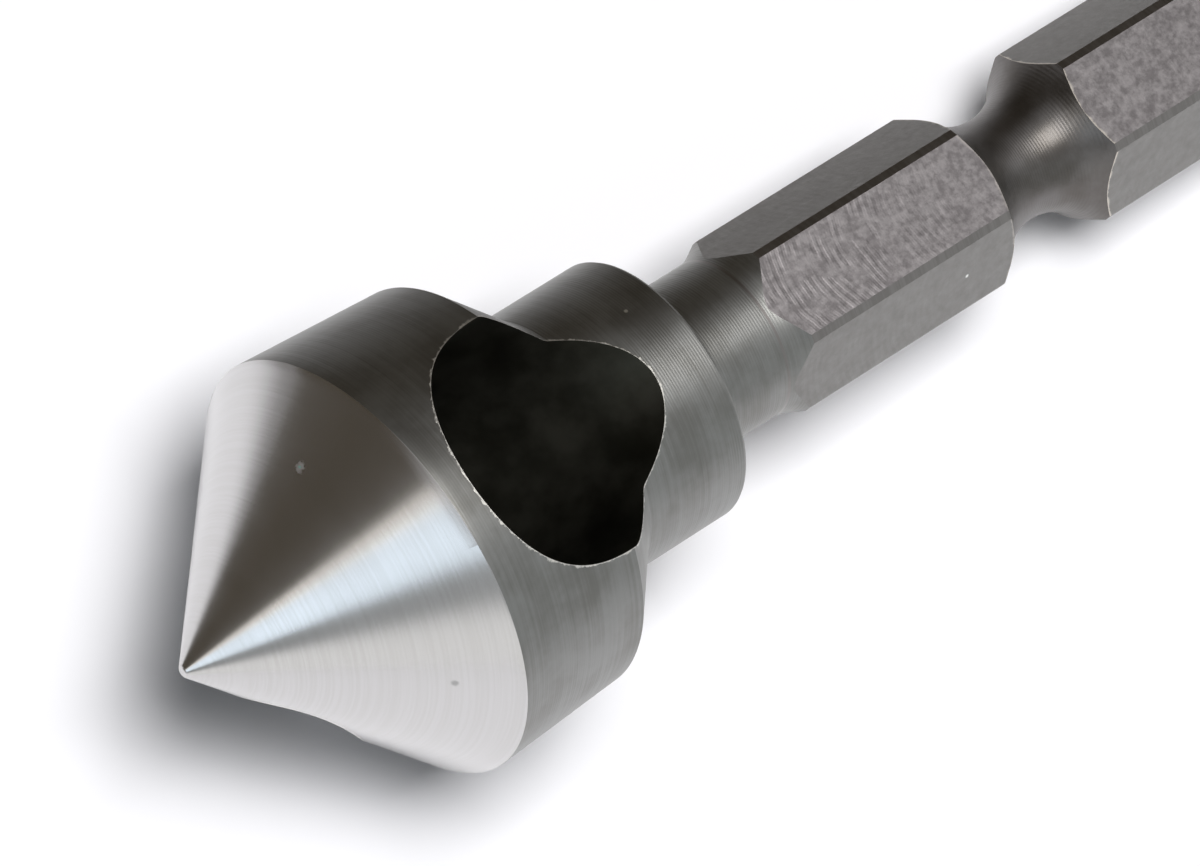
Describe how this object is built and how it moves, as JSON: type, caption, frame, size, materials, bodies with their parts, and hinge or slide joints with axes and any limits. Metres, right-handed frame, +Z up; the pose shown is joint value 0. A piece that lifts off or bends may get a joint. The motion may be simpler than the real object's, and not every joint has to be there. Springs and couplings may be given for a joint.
{
  "type": "countersink bit",
  "caption": "Cross-hole countersink and deburring bit: a fluteless 90 degree cone with a slanting chip hole, a stepped collar and a grooved quarter-inch hex drive shank.",
  "frame": {"origin": "centre of the lying bit's bounding box, on the surface that it lies on", "axes": "+X from the point towards the shank end, in the surface's plane; +Y to the bit's left, seen from the point towards the shank; +Z up, away from the surface. The bit lies on the rear edge of its head's body and the end of its lower hex flat, so its own axis dips 7.45 degrees below +X towards the shank end. The hole's large mouth, in body, shoulder and collar, looks straight up, and its mouth in the cone looks forward and down."},
  "size_m": [0.0504, 0.0164, 0.0168],
  "materials": {
    "steel": "bare hardened steel, finely turned and ground"
  },
  "bodies": {
    "root": {"countersink_bit": "steel"}
  },
  "joints": []
}
